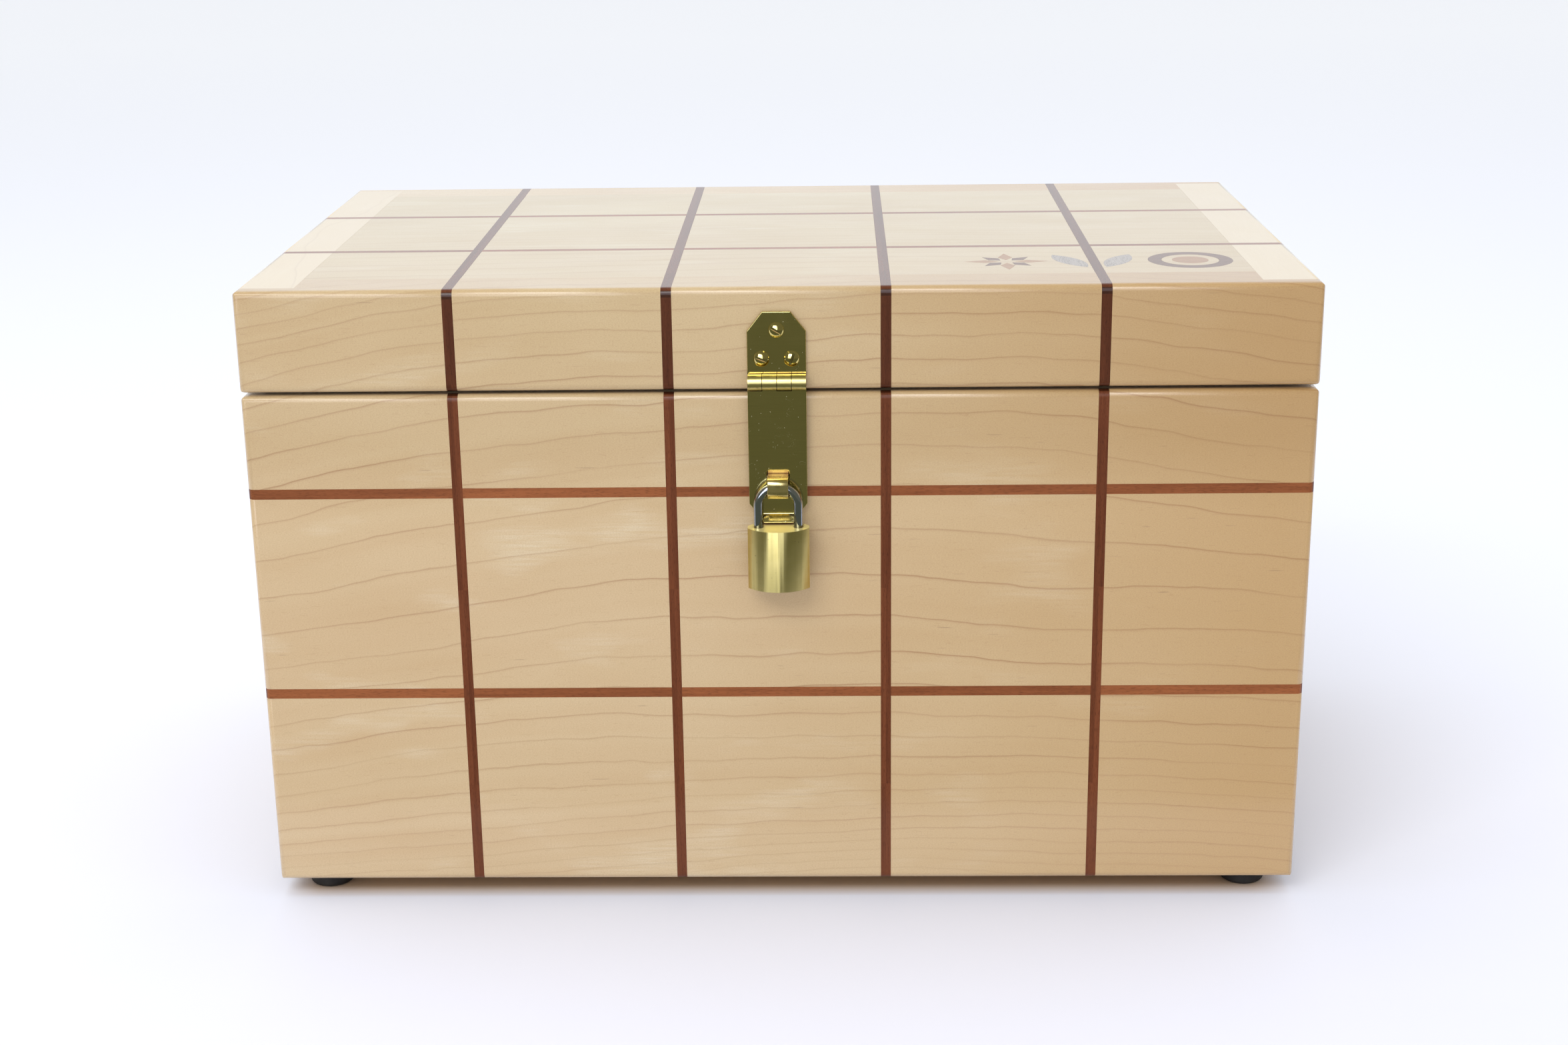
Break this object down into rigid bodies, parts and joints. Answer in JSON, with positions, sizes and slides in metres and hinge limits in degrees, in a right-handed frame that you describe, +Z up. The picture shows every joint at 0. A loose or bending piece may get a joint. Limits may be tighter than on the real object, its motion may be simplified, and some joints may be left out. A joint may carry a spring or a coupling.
{
  "type": "wooden puzzle box",
  "caption": "Rectangular maple box with a grid of inlaid dark strips, a hinged lid, a brass hasp and staple, a small padlock and round rubber feet.",
  "frame": {"origin": "the middle of the whole object's footprint, on the surface that its feet stand on", "axes": "+X to the right as seen from the front, +Y from the hasp side to the hinge side, +Z up"},
  "size_m": [0.348, 0.2249, 0.213],
  "materials": {
    "maple": "satin oil",
    "walnut": "satin oil",
    "dark_walnut": "satin oil",
    "tan_wood": "satin oil",
    "grey_wood": "satin oil",
    "brass": "polished",
    "lock_brass": "brushed",
    "chrome": "polished",
    "steel": "plain",
    "rubber": "matt",
    "felt": "matt"
  },
  "bodies": {
    "box": {"box_front_board": "maple", "box_back_board": "maple", "box_left_board": "maple", "box_right_board": "maple", "box_bottom_panel": "maple", "box_front_inlay": "walnut", "box_back_inlay": "walnut", "box_left_inlay": "walnut", "box_right_inlay": "walnut", "rim_felt": "felt", "rubber_feet": "rubber", "foot_screws": "steel", "hinge_left_box_leaf": "brass", "hinge_right_box_leaf": "brass", "hinge_pins": "brass", "hinge_box_screws": "brass", "staple_base_plate": "brass", "staple_loop": "brass", "staple_screws": "brass"},
    "lid": {"lid_front_board": "maple", "lid_back_board": "maple", "lid_left_board": "maple", "lid_right_board": "maple", "lid_top_panel": "maple", "lid_front_inlay": "walnut", "lid_back_inlay": "walnut", "lid_left_inlay": "walnut", "lid_right_inlay": "walnut", "lid_top_long_inlay": "walnut", "lid_top_cross_inlay": "walnut", "star_light_rays": "tan_wood", "star_dark_rays": "dark_walnut", "leaf_pair": "grey_wood", "ring_inlay": "dark_walnut", "ring_centre": "tan_wood", "hinge_left_lid_leaf": "brass", "hinge_right_lid_leaf": "brass", "hinge_lid_screws": "brass", "hasp_leaf": "brass", "hasp_pin": "brass", "hasp_screws": "brass"},
    "strap": {"hasp_strap": "brass"},
    "shackle": {"padlock_shackle": "chrome"},
    "lock": {"padlock_body": "lock_brass", "shackle_spring": "steel", "shackle_stop_pin": "steel", "plug_retaining_pin": "steel", "driver_pins": "brass", "pin_springs": "steel", "chamber_caps": "lock_brass"},
    "plug": {"padlock_plug": "brass", "key_pins": "brass"},
    "latch": {"padlock_latch": "steel"}
  },
  "joints": [
    {"name": "lid_hinge", "type": "hinge", "parent": "box", "child": "lid", "pos_m": [0, 0.11005, 0.179], "axis": [-1, 0, 0], "range_deg": [0, 180]},
    {"name": "hasp_hinge", "type": "hinge", "parent": "lid", "child": "strap", "pos_m": [0, -0.10175, 0.1827], "axis": [-1, 0, 0], "range_deg": [0, 165]},
    {"name": "padlock_swing", "type": "hinge", "parent": "box", "child": "shackle", "pos_m": [0, -0.10595, 0.148], "axis": [-1, 0, 0], "range_deg": [0, 90]},
    {"name": "padlock_drop", "type": "slide", "parent": "shackle", "child": "lock", "axis": [0, 0, -1], "range_m": [0, 0.008], "deforming": ["shackle_spring"]},
    {"name": "plug_turn", "type": "hinge", "parent": "lock", "child": "plug", "pos_m": [0, -0.10595, 0.1205], "axis": [0, 0, 1], "range_deg": [-90, 0]},
    {"name": "latch_slide", "type": "slide", "parent": "lock", "child": "latch", "axis": [1, 0, 0], "range_m": [0, 0.0013]}
  ],
  "couplings": [
    {"joint": "plug_turn", "follows": "latch_slide", "rad_per_m": -1208.3}
  ]
}
